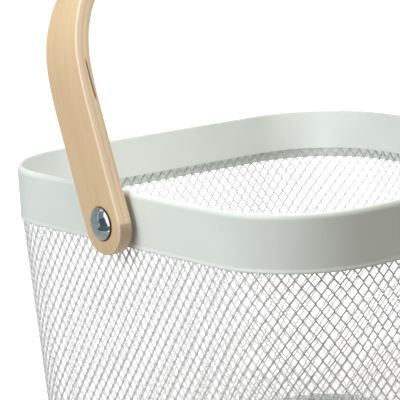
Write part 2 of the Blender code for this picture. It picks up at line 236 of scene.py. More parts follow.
def addBump(tree, shader, height, strength, distance):
    bump = addNode(tree, "ShaderNodeBump", 600, -300)
    setInputs(bump, Strength=strength, Distance=distance)
    tree.links.new(height, bump.inputs["Height"])
    tree.links.new(bump.outputs["Normal"], shader.inputs["Normal"])


def freshMaterial(name):
    material = bpy.data.materials.new(name)
    material.use_nodes = True
    tree = material.node_tree
    shader = tree.nodes["Principled BSDF"]
    shader.location = (900, 0)
    tree.nodes["Material Output"].location = (1200, 0)
    return material, tree, shader


# Powder coat: shared texture of fine orange peel and faint clouding

textureLook = {
    "peelDetail": (2.0, 0.45),
    "cloudDetail": (3.0, 0.5),
    "speckReach": (0.05, 0.3),
    "toneReach": (0.35, 0.65),
    "dullReach": (0.3, 0.7),
}


def makeCoatTexture():
    group = bpy.data.node_groups.new("coatTexture", "ShaderNodeTree")
    for way, names in (("INPUT", ("Peel Size", "Cloud Size")), ("OUTPUT", ("Height", "Cloud", "Speck"))):
        for socketName in names:
            group.interface.new_socket(name=socketName, in_out=way, socket_type="NodeSocketFloat")
    entry = addNode(group, "NodeGroupInput", -900, 0)
    result = addNode(group, "NodeGroupOutput", 300, 0)
    place = addNode(group, "ShaderNodeTexCoord", -900, -200)
    peel = addNode(group, "ShaderNodeTexNoise", -600, 200)
    clouds = addNode(group, "ShaderNodeTexNoise", -600, -50)
    specks = addNode(group, "ShaderNodeTexVoronoi", -600, -300, feature="F1")
    for noise, name in ((peel, "peelDetail"), (clouds, "cloudDetail")):
        detail, roughness = textureLook[name]
        setInputs(noise, Detail=detail, Roughness=roughness)
    for texture, size in ((peel, "Peel Size"), (clouds, "Cloud Size"), (specks, "Peel Size")):
        group.links.new(place.outputs["Object"], texture.inputs["Vector"])
        group.links.new(entry.outputs[size], texture.inputs["Scale"])
    group.links.new(peel.outputs["Fac"], result.inputs["Height"])
    group.links.new(clouds.outputs["Fac"], result.inputs["Cloud"])
    speck = rangeNode(group, -300, -300, specks.outputs["Distance"], *textureLook["speckReach"])
    group.links.new(speck, result.inputs["Speck"])
    return group


def addPattern(tree, texture, peelSize, cloudSize, shade, color):
    # the shared texture, and the colour that its clouds make
    pattern = addNode(tree, "ShaderNodeGroup", -200, 0, node_tree=texture)
    setInputs(pattern, Peel_Size=peelSize, Cloud_Size=cloudSize)
    cloud = rangeNode(tree, 100, 200, pattern.outputs["Cloud"], *textureLook["toneReach"])
    return pattern.outputs, mixColor(tree, 350, 250, cloud, shade, color)


def coverWith(tree, shader, pattern, color, roughness, bump):
    tree.links.new(color, shader.inputs["Base Color"])
    dullness = rangeNode(tree, 350, 0, pattern["Cloud"], *textureLook["dullReach"], *roughness)
    tree.links.new(dullness, shader.inputs["Roughness"])
    addBump(tree, shader, pattern["Height"], *bump)


coatLook = {
    "bandColor": (0.62, 0.665, 0.62),
    "bandShade": (0.585, 0.63, 0.59),
    "netColor": (0.73, 0.74, 0.735),
    "netShade": (0.69, 0.70, 0.695),
    # painted shade at the bonds, where the strands cross
    "netBond": (0.48, 0.485, 0.48),
    "bondPitch": 0.5,
    "bondReach": (0.11, 0.05),
    # painted light: the inner face of the net, paler than the outer face of the same coat
    "netInsideLit": (0.85, 0.85, 0.87),
    # painted shade at the bonds of the inner face
    "insideBond": (0.74, 0.74, 0.76),
    # painted shade on the rows held between the band's legs
    "slotShadeColor": (0.50, 0.53, 0.50),
    "gripRows": (18.7, 18.95),
    "speckShade": 0.94,
    "floorColor": (0.60, 0.62, 0.61),
    "floorShade": (0.57, 0.59, 0.58),
    "nylonColor": (0.70, 0.70, 0.66),
    "nylonShade": (0.62, 0.62, 0.59),
    "nylonPeel": 600.0,
    "nylonRoughness": (0.45, 0.55),
    "roughness": (0.36, 0.46),
    "peelSize": 1100.0,
    "peelBump": (0.5, 0.00001),
    "cloudSize": 16.0,
}


def makeCoat(name, texture, paint, peelSize=coatLook["peelSize"], roughness=coatLook["roughness"]):
    material, tree, shader = freshMaterial(name)
    shade = coatLook[paint + "Shade"]
    pattern, color = addPattern(tree, texture, peelSize, coatLook["cloudSize"],
                                shade, coatLook[paint + "Color"])
    if paint == "net":
        # the map sheetSide tells the outer face (0) from the inner one (1), and its second value
        # counts the net's rows, with bonds at every half row and the band over the last ones
        side = readMap(tree, "sheetSide", -400, 500)
        fromBond = mathNode(tree, "PINGPONG", -100, 700, side["Y"], coatLook["bondPitch"] / 2)
        bond = rangeNode(tree, 100, 700, fromBond, *coatLook["bondReach"])
        # painted shade: the bonds are darker than the strands, on the outer face here and on the inner one
        # below
        color = mixColor(tree, 400, 500, bond, color, coatLook["netBond"])
        # painted light: the inner face takes a paler, lit-looking copy of the coat
        inside = mixColor(tree, 400, 650, bond, coatLook["netInsideLit"], coatLook["insideBond"])
        color = mixColor(tree, 450, 400, rangeNode(tree, 0, 500, side["X"], 0.0, 1.0), color, inside)
        # painted shade: the rows held in the band's channel are darkened, as in the shade between its legs
        slotShade = rangeNode(tree, 300, 850, side["Y"], *coatLook["gripRows"])
        color = mixColor(tree, 500, 550, slotShade, color, coatLook["slotShadeColor"])
    speckColor = tuple(coatLook["speckShade"] * part for part in shade)
    speckled = mixColor(tree, 600, 250, pattern["Speck"], speckColor, color)
    coverWith(tree, shader, pattern, speckled, roughness, coatLook["peelBump"])
    return material


# Laminated birch: the pattern lies in the strap's own length, width and thickness

birchLook = {
    "faceColor": (0.582, 0.434, 0.260),
    "faceShade": (0.549, 0.397, 0.230),
    "edgeColor": (0.785, 0.615, 0.425),
    "edgeShade": (0.695, 0.520, 0.345),
    "edgeReach": (0.00012, 0.0007),
    "broadGrain": (9.0, 110.0, 3.0),
    "fineGrain": (28.0, 900.0, 4.0),
    "poreGrain": (140.0, 2600.0, 2.0),
    "grainRoughness": 0.55,
    "broadShare": 0.55,
    "grainReach": (0.36, 0.62),
    "poreReach": (0.62, 0.75),
    "poreStrength": 0.30,
    "plies": 8,
    "plyShares": (0.6, 0.5),
    "plyReach": (0.2, 0.75),
    "glueColor": (0.330, 0.205, 0.110),
    "glueReach": (0.40, 0.49),
    "glueStrength": 0.25,
    # the edge round the end: darker end grain, with painted shade where it turns down away from the light
    "endColor": (0.540, 0.390, 0.260),
    "endReach": (0.0018, 0.0030),
    "endFade": (0.0146, 0.0060, 0.35, 1.0),
    # painted highlight along the arrises
    "arrisHighlightColor": (0.840, 0.720, 0.560),
    "arrisRound": (0.0011, 0.0006),
    "arrisFlat": (0.0010, 0.0005),
    "arrisHighlightStrength": 0.45,
    # painted shade round the rivet head
    "rivetShadeColor": (0.100, 0.060, 0.035),
    "rivetShadeReach": (0.0010, 0.0002),
    "rivetShadeDepth": 0.0006,
    "slitColor": (0.200, 0.112, 0.040),
    "slitDepth": -0.0015,
    "slitSlope": 0.06,
    "slitStart": 0.0740,
    "slitEnd": 0.0978,
    "slitTaper": 0.004,
    "slitWander": 0.0006,
    "slitReach": (0.00060, 0.00028),
    "roughness": (0.50, 0.40),
    "relief": (0.3, 0.4, 4.0),
    "bump": (0.6, 0.0001),
    "coat": (0.25, 0.3),
}


def makeBirch(thickness, roundStart, pivotDistance, total, rivetRadius):
    material, tree, shader = freshMaterial("laminatedBirch")
    look = birchLook
    half = thickness / 2

    def calc(operation, x, y, *values):
        return mathNode(tree, operation, x, y, *values)

    def ramp(x, y, value, *limits):
        return rangeNode(tree, x, y, value, *limits)

    along = readMap(tree, "unrolled", -1900, 0)
    distance, depth = along["X"], along["Y"]
    width = readMap(tree, "acrossGrain", -1900, -300)["X"]
    offCentre = calc("ABSOLUTE", -900, -300, depth)

    # how far a point of the face lies from the line that the round end springs from, and from the rivet
    fromCrown = calc("ABSOLUTE", -1500, 700, calc("SUBTRACT", -1600, 700, distance, total / 2))
    fromEnd = calc("SUBTRACT", -1400, 700, total / 2, fromCrown)
    intoEnd = calc("MAXIMUM", -1200, 900, calc("SUBTRACT", -1300, 900, roundStart, fromEnd), 0.0)
    pastRivet = calc("SUBTRACT", -1300, 1100, pivotDistance, fromEnd)
    widthSquared = calc("MULTIPLY", -1300, 800, width, width)
    fromMiddleLine, fromRivet = (
        calc("SQRT", -1000, y, calc("MULTIPLY_ADD", -1100, y, reach, reach, widthSquared))
        for y, reach in ((900, intoEnd), (1100, pastRivet)))

    plyPlace = calc("MULTIPLY_ADD", -1500, -150, depth, look["plies"] / thickness, look["plies"] / 2)
    inPly = calc("FRACT", -1300, -300, plyPlace)
    plyTone = addNode(tree, "ShaderNodeTexWhiteNoise", -1100, -150, noise_dimensions="1D")
    tree.links.new(calc("FLOOR", -1300, -150, plyPlace), plyTone.inputs["W"])

    def streaks(y, alongScale, acrossScale, detail):
        # noise drawn out along the strap
        vector = addNode(tree, "ShaderNodeCombineXYZ", -1100, y)
        scaled = ((distance, alongScale), (width, acrossScale), (depth, acrossScale))
        for index, (value, scale) in enumerate(scaled):
            tree.links.new(calc("MULTIPLY", -1300, y - 60 * index, value, scale), vector.inputs[index])
        noise = addNode(tree, "ShaderNodeTexNoise", -900, y)
        setInputs(noise, Scale=1.0, Detail=detail, Roughness=look["grainRoughness"])
        tree.links.new(vector.outputs[0], noise.inputs["Vector"])
        return noise.outputs["Fac"]

    broad = streaks(500, *look["broadGrain"])
    fine = streaks(300, *look["fineGrain"])
    pores = streaks(100, *look["poreGrain"])

    edge = ramp(-700, -300, offCentre, *(half - reach for reach in look["edgeReach"]))
    grain = calc("MULTIPLY_ADD", -700, 400, broad, look["broadShare"],
                 calc("MULTIPLY", -900, 450, fine, 1 - look["broadShare"]))
    faceColor = mixColor(tree, -250, 400, ramp(-500, 400, grain, *look["grainReach"]),
                         look["faceShade"], look["faceColor"])
    toneShare, grainShare = look["plyShares"]
    plyMask = calc("MULTIPLY_ADD", -700, 0, plyTone.outputs["Value"], toneShare,
                   calc("MULTIPLY", -900, 0, fine, grainShare))
    edgeColor = mixColor(tree, -250, 200, ramp(-500, 0, plyMask, *look["plyReach"]),
                         look["edgeShade"], look["edgeColor"])
    # the edge round the end is darker, and lighter again towards the tip: end grain, with painted shade where
    # the edge turns down away from the light
    endGrainAndShade = calc("MULTIPLY", -300, 700, ramp(-500, 700, intoEnd, *look["endReach"]),
                    ramp(-500, 850, intoEnd, *look["endFade"]))
    edgeToned = mixColor(tree, -100, 600, endGrainAndShade, edgeColor, look["endColor"])
    sided = mixColor(tree, 0, 300, edge, faceColor, edgeToned)
    # painted highlight: a pale line along the arrises of the face and round the end
    roundReach = (roundStart - reach for reach in look["arrisRound"])
    flatReach = (half - reach for reach in look["arrisFlat"])
    arrisHighlight = calc("MULTIPLY", -300, 1000, ramp(-500, 1000, fromMiddleLine, *roundReach),
                   ramp(-500, 1150, offCentre, *flatReach))
    withArrisHighlight = mixColor(tree, 50, 500, calc("MULTIPLY", -100, 1000, arrisHighlight, look["arrisHighlightStrength"]),
                       sided, look["arrisHighlightColor"])
    # painted shade: a dark ring on the face just round the rivet head and under its rim
    rivetShade = calc("MULTIPLY", -300, 1300,
                ramp(-500, 1300, fromRivet, *(rivetRadius + reach for reach in look["rivetShadeReach"])),
                ramp(-500, 1450, offCentre, half - look["rivetShadeDepth"], half))
    wood = mixColor(tree, 100, 400, rivetShade, withArrisHighlight, look["rivetShadeColor"])

    fromMiddle = calc("ABSOLUTE", -900, -500, calc("SUBTRACT", -1100, -500, inPly, 0.5))
    glue = calc("MULTIPLY", -500, -450, ramp(-700, -500, fromMiddle, *look["glueReach"]), edge)
    glued = mixColor(tree, 200, 300, calc("MULTIPLY", 0, 0, glue, look["glueStrength"]),
                     wood, look["glueColor"])
    poreMask = calc("MULTIPLY", -300, 100, ramp(-500, 150, pores, *look["poreReach"]), look["poreStrength"])
    pored = mixColor(tree, 400, 300, poreMask, glued, look["glueColor"])

    # one open glue line on the near edge of the left leg
    start, end, taper = look["slitStart"], look["slitEnd"], look["slitTaper"]
    wander = calc("MULTIPLY", -900, -750, calc("SUBTRACT", -1100, -750, fine, 0.5), look["slitWander"])
    fromSlit = calc("SUBTRACT", -1100, -850, distance, (start + end) / 2)
    slitLine = calc("MULTIPLY_ADD", -1000, -850, fromSlit, look["slitSlope"], look["slitDepth"])
    wandering = calc("ADD", -850, -800, depth, wander)
    offLine = calc("ABSOLUTE", -700, -750, calc("SUBTRACT", -800, -750, wandering, slitLine))
    onLine = ramp(-500, -750, offLine, *look["slitReach"])
    starts = ramp(-500, -900, distance, start, start + taper)
    ends = ramp(-500, -1050, distance, end, end - taper)
    nearSide = calc("LESS_THAN", -500, -1200, width, 0.0)
    slit = calc("MULTIPLY", -100, -900, calc("MULTIPLY", -300, -850, onLine, starts),
                calc("MULTIPLY", -300, -1100, ends, nearSide))
    final = mixColor(tree, 600, 300, slit, pored, look["slitColor"])
    tree.links.new(final, shader.inputs["Base Color"])
    dullness = ramp(300, 0, fine, *textureLook["dullReach"], *look["roughness"])
    tree.links.new(dullness, shader.inputs["Roughness"])
    grainRelief, glueRelief, slitRelief = look["relief"]
    relief = calc("SUBTRACT", 300, -400, calc("MULTIPLY", 100, -350, fine, grainRelief),
                  calc("MULTIPLY_ADD", 100, -550, glue, glueRelief,
                       calc("MULTIPLY", 0, -700, slit, slitRelief)))
    addBump(tree, shader, relief, *look["bump"])
    coatWeight, coatRoughness = look["coat"]
    setInputs(shader, Coat_Weight=coatWeight, Coat_Roughness=coatRoughness)
    return material


# Bright plated steel, faintly uneven

steelLook = {
    "color": (0.66, 0.70, 0.73),
    "shade": (0.52, 0.56, 0.60),
    "roughness": (0.05, 0.10),
    "peelSize": 700.0,
    "cloudSize": 160.0,
    "bump": (0.35, 0.00002),
}


def makeSteel(texture):
    material, tree, shader = freshMaterial("brightSteel")
    pattern, color = addPattern(tree, texture, steelLook["peelSize"], steelLook["cloudSize"],
                                steelLook["shade"], steelLook["color"])
    coverWith(tree, shader, pattern, color, steelLook["roughness"], steelLook["bump"])
    setInputs(shader, Metallic=1.0)
    return material


# Folded rim band: a rounded plane inset step by step up, over and down again

basketSizes = {
    "height": 0.180,
    "halfX": 0.125,
    "halfY": 0.130,
    "cornerRadius": 0.0545,
    "bandSlope": 0.013,
    "wallSlope": 0.073,
}

bandSizes = {
    "width": 0.0028,
    "sheet": 0.0007,
    "outerDrop": 0.0285,
    "innerDrop": 0.0228,
    "lipOut": (0.0021, 0.0032),
    "lipIn": (0.0007, 0.0010),
    "beadHeight": 0.0025,
    "beadTop": 0.0006,
    "beadBulge": 0.00035,
    "beadSteps": 8,
    "beadTurnSteps": 4,
    "cornerSteps": 24,
    "foldSteps": 16,
    "cutEdges": (0.00015, 2, 50),
    "smoothAngle": 14,
}


def addRoundedPlane(name, inset, height):
    bpy.ops.mesh.primitive_plane_add(size=2, location=(0, 0, height))
    piece = nameActive(name)
    startEditing(piece, "VERT")
    selectAll()
    bpy.ops.transform.resize(value=(basketSizes["halfX"] - inset, basketSizes["halfY"] - inset, 1),
                             center_override=(0, 0, height))
    bpy.ops.mesh.bevel(offset=basketSizes["cornerRadius"] - inset, segments=bandSizes["cornerSteps"],
                       affect="VERTICES", profile=0.5, clamp_overlap=False)
    selectAll("FACE")
    return piece


def insetAlong(name, profile):
    # an open skin: a rounded plane whose face is inset along (inset, height) pairs and then removed
    skin = addRoundedPlane(name, *profile[0])
    for (inset, height), (nextInset, nextHeight) in zip(profile, profile[1:]):
        bpy.ops.mesh.inset(thickness=nextInset - inset, depth=nextHeight - height, use_even_offset=True)
    bpy.ops.mesh.delete(type="ONLY_FACE")
    stopEditing()
    return skin


def joinSkins(first, second):
    joinPieces(first, second)
    startEditing(first, "VERT")
    weld()
    stopEditing()


def beadRings(bottom):
    # (height, bulge) pairs down the low bead at the band's foot: slow out, quick back in
    top, crest, steps = bandSizes["beadHeight"], bandSizes["beadTop"], bandSizes["beadSteps"]
    shares = [step / steps for step in range(steps + 1)]
    rings = [(bottom + top + (crest - top) * share,
              bandSizes["beadBulge"] * (1 - math.cos(math.pi * share)) / 2) for share in shares]
    rings += [(bottom + crest * (1 - down), bandSizes["beadBulge"] * out)
              for out, down in quarterTurn(bandSizes["beadTurnSteps"], 1)]
    return rings


def makeRimBand(material):
    clearSelection()
    height = basketSizes["height"]
    slope = basketSizes["bandSlope"]
    rings = beadRings(height - bandSizes["outerDrop"])
    # the lip is rounder outside than inside
    (outWidth, rise), (inWidth, fall) = bandSizes["lipOut"], bandSizes["lipIn"]
    upward = [(outWidth * (1 - across), height - rise * (1 - up))
              for across, up in quarterTurn(bandSizes["foldSteps"])]
    upward += [(outWidth + inWidth * up, height - fall * (1 - across))
               for across, up in quarterTurn(bandSizes["foldSteps"] // 2, 1)]
    upward.append((bandSizes["width"], height - bandSizes["innerDrop"]))
    downward = [(0, height - rise)] + [(0, ring[0]) for ring in rings]
    band, outerLeg = (
        insetAlong(name, [(inset + slope * (height - level), level) for inset, level in part])
        for name, part in (("rimBand", upward), ("outerLeg", downward)))
    startEditing(outerLeg)
    for level, bulge in rings:
        pick(outerLeg, "VERT", lambda vert: abs(outerLeg.location.z + vert.co.z - level) < nearSpot)
        grow = 1 + bulge / basketSizes["halfX"]
        bpy.ops.transform.resize(value=(grow, grow, 1), center_override=(0, 0, level))
    selectAll()
    bpy.ops.mesh.flip_normals()
    stopEditing()
    joinSkins(band, outerLeg)
    modify(band, "sheet", "SOLIDIFY", thickness=bandSizes["sheet"], offset=-1, use_even_offset=True)
    bevelEdges(band, "cutEdges", *bandSizes["cutEdges"])
    finishPiece(band, "basket", material, bandSizes["smoothAngle"], "rim_band")


# Expanded metal wall: a tube of diamonds, opened by inset, twisted, and pressed onto the outline

netSizes = {
    "columns": 146,
    "rows": 20,
    "top": 0.1604,
    "bottom": 0.0005,
    "strand": 0.00050,
    "thickness": 0.00038,
    "bondStretch": 0.00045,
    "twist": 0.00040,
    "bondSearch": 0.03,
    "flatFoot": 0.008,
    "flatTop": 0.001,
    "turn": 0.0026,
    "wallInset": 0.0010,
    "smoothAngle": 25,
}


def wallInset(height):
    bandBottom = basketSizes["height"] - bandSizes["outerDrop"]
    if height >= bandBottom:
        return netSizes["wallInset"] + basketSizes["bandSlope"] * (basketSizes["height"] - height)
    return (netSizes["wallInset"] + basketSizes["bandSlope"] * bandSizes["outerDrop"]
            + basketSizes["wallSlope"] * (bandBottom - height))


def outlineLengths():
    quarter = basketSizes["cornerRadius"] * math.pi / 2
    sideX = 2 * (basketSizes["halfX"] - basketSizes["cornerRadius"])
    sideY = 2 * (basketSizes["halfY"] - basketSizes["cornerRadius"])
    return (quarter, sideX, quarter, sideY) * 2


def outlinePlace(share, inset):
    # point on the rounded square at a share of its length, moved in by inset
    lengths = outlineLengths()
    left = (share % 1.0) * sum(lengths)
    index = 0
    while index < len(lengths) - 1 and left > lengths[index]:
        left -= lengths[index]
        index += 1
    corner, onSide = divmod(index, 2)
    radius = basketSizes["cornerRadius"]
    signX, signY = ((1, 1), (-1, 1), (-1, -1), (1, -1))[corner]
    centre = Vector((signX * (basketSizes["halfX"] - radius), signY * (basketSizes["halfY"] - radius), 0))
    angle = math.pi / 2 * (corner + (1 if onSide else left / lengths[index]))
    normal = Vector((math.cos(angle), math.sin(angle), 0))
    point = centre + normal * (radius - inset)
    if onSide:
        point += Vector((-normal.y, normal.x, 0)) * left
    return point


def isLatticeEdge(edge):
    # true for the upright and level edges that the poked diamonds don't need
    first, second = (vert.co for vert in edge.verts)
    level = abs(first.z - second.z) < sameSpot
    upright = math.hypot(first.x - second.x, first.y - second.y) < sameSpot
    return (level or upright) and len(edge.link_faces) == 2


def openDiamonds(net, isLattice, strand):
    # pokes every face, drops the lattice round it and opens the diamonds that are left
    selectAll("FACE")
    bpy.ops.mesh.poke()
    pick(net, "EDGE", isLattice)
    bpy.ops.mesh.dissolve_edges(use_verts=False)
    selectAll("FACE")
    bpy.ops.mesh.inset(thickness=strand / 2, use_individual=True, use_even_offset=True)
    bpy.ops.mesh.delete(type="FACE")


def makeWallNet(material):
    clearSelection()
    radius = sum(outlineLengths()) / math.tau
    bottom = netSizes["bottom"]
    rowHeight = (netSizes["top"] - bottom) / netSizes["rows"]
    net = startSpin("wallNet", (radius, 0, bottom))
    for row in range(netSizes["rows"]):
        extrude((0, 0, rowHeight))
    spinRound(netSizes["columns"])
    weld(nearSpot)
    faceOutward()
    openDiamonds(net, isLatticeEdge, netSizes["strand"])
    stopEditing()
    shapeBonds(net, radius, rowHeight)
    net.vertex_groups.new(name="innerSide")
    modify(net, "sheet", "SOLIDIFY", thickness=netSizes["thickness"], offset=-1,
           shell_vertex_group="innerSide")
    layer = net.data.uv_layers.new(name="sheetSide")
    for loop in net.data.loops:
        vert = net.data.vertices[loop.vertex_index]
        layer.data[loop.index].uv = (1.0 if vert.groups else 0.0, (vert.co.z - bottom) / rowHeight)
    net.vertex_groups.clear()
    for vert in net.data.vertices:
        spot = vert.co
        share = math.atan2(spot.y, spot.x) / math.tau + netSizes["turn"]
        depth = radius - math.hypot(spot.x, spot.y)
        place = outlinePlace(share, wallInset(spot.z) + depth)
        vert.co = (place.x, place.y, spot.z)
    finishPiece(net, "basket", material, netSizes["smoothAngle"], "mesh_wall")


def shapeBonds(net, radius, rowHeight):
    # the bonds stand upright: the tips above and below them are moved apart, and as the slitting press
    # leaves them, their left side stands out and their right side in
    near = netSizes["bondSearch"]
    bandBottom = basketSizes["height"] - bandSizes["outerDrop"]
    for vert in net.data.vertices:
        spot = vert.co
        halfColumn = math.atan2(spot.y, spot.x) / math.tau * netSizes["columns"] * 2
        halfRow = (spot.z - netSizes["bottom"]) / rowHeight * 2
        sideways = halfColumn - round(halfColumn)
        upward = halfRow - round(halfRow)
        isFree = netSizes["flatFoot"] < spot.z < bandBottom - netSizes["flatTop"]
        if abs(upward) > near and abs(sideways) < near:
            vert.co.z += math.copysign(netSizes["bondStretch"], upward)
        elif abs(sideways) > near and abs(upward) < near and isFree:
            scale = 1 - math.copysign(netSizes["twist"], sideways) / radius
            vert.co = (spot.x * scale, spot.y * scale, spot.z)


# Floor net, trimmed to the outline, and the hoop under it

floorSizes = {
    "cellX": 0.0060,
    "cellY": 0.0075,
    "height": 0.0038,
    "thickness": 0.0008,
    "strand": 0.0007,
    "gap": 0.0003,
    "trimHeight": 0.01,
    "hoopWidth": 0.006,
    "hoopHeight": 0.0035,
    "hoopEdge": 0.0006,
    "hoopEdgeSteps": 4,
    "hoopSmoothAngle": 35,
}


def footInset():
    return wallInset(0) + netSizes["thickness"] + floorSizes["gap"]


def isGridEdge(edge):
    # the same as isLatticeEdge for the floor's grid, which lies flat
    first, second = (vert.co for vert in edge.verts)
    return len(edge.link_faces) == 2 and min(abs(first.x - second.x), abs(first.y - second.y)) < sameSpot


def makeFloorNet(material):
    clearSelection()
    inset = footInset()
    place = (0, 0, floorSizes["height"])
    columns = math.ceil(2 * (basketSizes["halfX"] - inset) / floorSizes["cellX"])
    rows = math.ceil(2 * (basketSizes["halfY"] - inset) / floorSizes["cellY"])
    bpy.ops.mesh.primitive_grid_add(x_subdivisions=columns, y_subdivisions=rows, size=1, location=place)
    net = nameActive("floorNet")
    startEditing(net)
    selectAll()
    bpy.ops.transform.resize(value=(columns * floorSizes["cellX"], rows * floorSizes["cellY"], 1),
                             center_override=place)
    openDiamonds(net, isGridEdge, floorSizes["strand"])
    selectAll()
    extrude((0, 0, floorSizes["thickness"]))
    faceOutward()
    stopEditing()

    trim = addRoundedPlane("floorTrim", inset, 0)
    extrude((0, 0, floorSizes["trimHeight"]))
    faceOutward()
    stopEditing()
    cutWith(net, "trim", trim, "INTERSECT")
    finishPiece(net, "basket", material, netSizes["smoothAngle"], "mesh_floor")


def makeBaseHoop(material):
    clearSelection()
    outer = footInset()
    inner = outer + floorSizes["hoopWidth"]
    top = floorSizes["hoopHeight"]
    edge = floorSizes["hoopEdge"]
    corner = [(edge - edge * across, edge - edge * up)
              for across, up in quarterTurn(floorSizes["hoopEdgeSteps"])]
    downward = [(outer + across, level) for across, level in corner]
    downward += [(inner - across, level) for across, level in reversed(corner)]
    upward = [(inset, top - level) for inset, level in downward]
    hoop = insetAlong("baseHoop", upward)
    underside = insetAlong("hoopUnderside", downward)
    joinSkins(hoop, underside)
    pick(startEditing(hoop), "EDGE", lambda item: item.is_boundary)
    bpy.ops.mesh.bridge_edge_loops()
    stopEditing()
    tidyNormals(hoop)
    finishPiece(hoop, "basket", material, floorSizes["hoopSmoothAngle"], "base_hoop")


# Bent strap: its end section is extruded up the leg and spun round each bend, then swung back

strapSizes = {
    "pivotHeight": 0.1645,
    "swing": math.radians(18.9),
    "thickness": 0.0080,
    "width": 0.0296,
    "endMargin": 0.0012,
    "bandGap": 0.0024,
    "flare": math.radians(1.1),
    "straight": 0.0738,
    "easingRadius": 0.212,
    "easingTurn": math.radians(5.5),
    "bendRadius": 0.066,
    "crownAngle": math.radians(8.0),
    "bendSteps": (10, 28, 14),
    "roundSteps": 26,
    "roundMargin": 0.00002,
    "arris": (0.0010, 4, 60),
    "boreRadius": 0.0033,
    "boreSteps": 48,
    "drillLength": 0.4,
    "smoothAngle": 40,
}


def swingBack(piece):
    # turns a piece that was built with the handle upright about the pivot line
    pivot = Vector((0, 0, strapSizes["pivotHeight"]))
    turn = Matrix.Rotation(-strapSizes["swing"], 3, "X")
    piece.location = pivot - turn @ pivot
    piece.rotation_euler = (-strapSizes["swing"], 0, 0)


def endReach():
    return strapSizes["width"] / 2 + strapSizes["endMargin"]


def strapAxes():
    # up the leaning leg, and square out of its face
    flare = strapSizes["flare"]
    return Vector((math.sin(flare), 0, math.cos(flare))), Vector((math.cos(flare), 0, -math.sin(flare)))


def strapStart():
    foot = Vector((basketSizes["halfX"] + strapSizes["bandGap"], 0,
                   strapSizes["pivotHeight"] - endReach() * math.cos(strapSizes["flare"])))
    return foot + strapAxes()[1] * strapSizes["thickness"] / 2


def strapBends():
    # (centre, radius, start lean, end lean) of the easing, the bend and the crown
    flare = strapSizes["flare"]
    eased = strapSizes["easingTurn"] - flare
    lean = math.pi / 2 - strapSizes["crownAngle"]
    upright, outward = strapAxes()
    easedOut, leanOut = (Vector((math.cos(angle), 0, math.sin(angle))) for angle in (eased, lean))
    easing = strapStart() + upright * strapSizes["straight"] - outward * strapSizes["easingRadius"]
    bend = easing + easedOut * (strapSizes["easingRadius"] - strapSizes["bendRadius"])
    crownFrom = bend + leanOut * strapSizes["bendRadius"]
    crownRadius = crownFrom.x / math.sin(strapSizes["crownAngle"])
    crown = crownFrom - leanOut * crownRadius
    return ((easing, strapSizes["easingRadius"], -flare, eased),
            (bend, strapSizes["bendRadius"], eased, lean),
            (crown, crownRadius, lean, math.pi / 2))


def unrollStrap(x, z):
    # distance from the strap's foot and depth outward from its centre line, for a point of the +X half
    upright, outward = strapAxes()
    away = Vector((x, 0, z)) - strapStart()
    distance = away.dot(upright)
    if distance <= strapSizes["straight"]:
        return distance, away.dot(outward)
    reached = strapSizes["straight"]
    for centre, radius, fromAngle, toAngle in strapBends():
        angle = math.atan2(z - centre.z, x - centre.x)
        if angle <= toAngle + sameSpot or toAngle == math.pi / 2:
            return (reached + radius * (angle - fromAngle),
                    math.hypot(x - centre.x, z - centre.z) - radius)
        reached += radius * (toAngle - fromAngle)


def strapLength():
    bends = sum(radius * (toAngle - fromAngle) for centre, radius, fromAngle, toAngle in strapBends())
    return 2 * (strapSizes["straight"] + bends)


def isFootCorner(edge):
    # true for the two edges across the strap's foot that the round end is bevelled from
    first, second = (vert.co for vert in edge.verts)
    atFoot = all(abs(unrollStrap(spot.x, spot.z)[0]) < nearSpot for spot in (first, second))
    return atFoot and abs(first.y - second.y) < sameSpot


def makeStrap(material):
    clearSelection()
    flare = strapSizes["flare"]
    start = strapStart()
    bpy.ops.mesh.primitive_plane_add(size=1, location=start, rotation=(0, flare, 0))
    strap = nameActive("birchStrap")
    applyPlace(strap)
    startEditing(strap, "VERT")
    selectAll()
    bpy.ops.transform.resize(value=(strapSizes["thickness"], strapSizes["width"], 1),
                             orient_matrix=Matrix.Rotation(flare, 3, "Y"), orient_matrix_type="LOCAL",
                             orient_type="LOCAL", center_override=start)
    selectAll("FACE")
    extrude(strapAxes()[0] * strapSizes["straight"])
    for (centre, radius, fromAngle, toAngle), steps in zip(strapBends(), strapSizes["bendSteps"]):
        bpy.ops.mesh.spin(steps=steps, angle=toAngle - fromAngle, center=centre, axis=(0, 1, 0))
    bpy.ops.mesh.delete(type="ONLY_FACE")  # the open end at the crown, closed by the mirror
    weld()
    pick(strap, "EDGE", isFootCorner)
    bpy.ops.mesh.bevel(offset=strapSizes["width"] / 2 - strapSizes["roundMargin"],
                       segments=strapSizes["roundSteps"], profile=0.5, affect="EDGES", clamp_overlap=False)
    stopEditing()
    modify(strap, "otherLeg", "MIRROR", use_axis=(True, False, False), merge_threshold=nearSpot)
    tidyNormals(strap)

    clearSelection()
    bpy.ops.mesh.primitive_cylinder_add(vertices=strapSizes["boreSteps"], radius=strapSizes["boreRadius"],
                                        depth=strapSizes["drillLength"], rotation=(0, math.pi / 2, 0),
                                        location=(0, 0, strapSizes["pivotHeight"]))
    cutWith(strap, "bore", nameActive("strapDrill"), "DIFFERENCE")
    bevelEdges(strap, "arris", *strapSizes["arris"])

    layer = strap.data.uv_layers.new(name="unrolled")
    grainLayer = strap.data.uv_layers.new(name="acrossGrain")
    total = strapLength()
    for loop in strap.data.loops:
        spot = strap.data.vertices[loop.vertex_index].co
        distance, depth = unrollStrap(abs(spot.x), spot.z)
        layer.data[loop.index].uv = (distance if spot.x < 0 else total - distance, depth)
        grainLayer.data[loop.index].uv = (spot.y, 0)
    swingBack(strap)
    finishPiece(strap, "bail", material, strapSizes["smoothAngle"], "handle")


# Rivets: a domed head square on the leaning strap, a shank along the pivot line and a closed tail

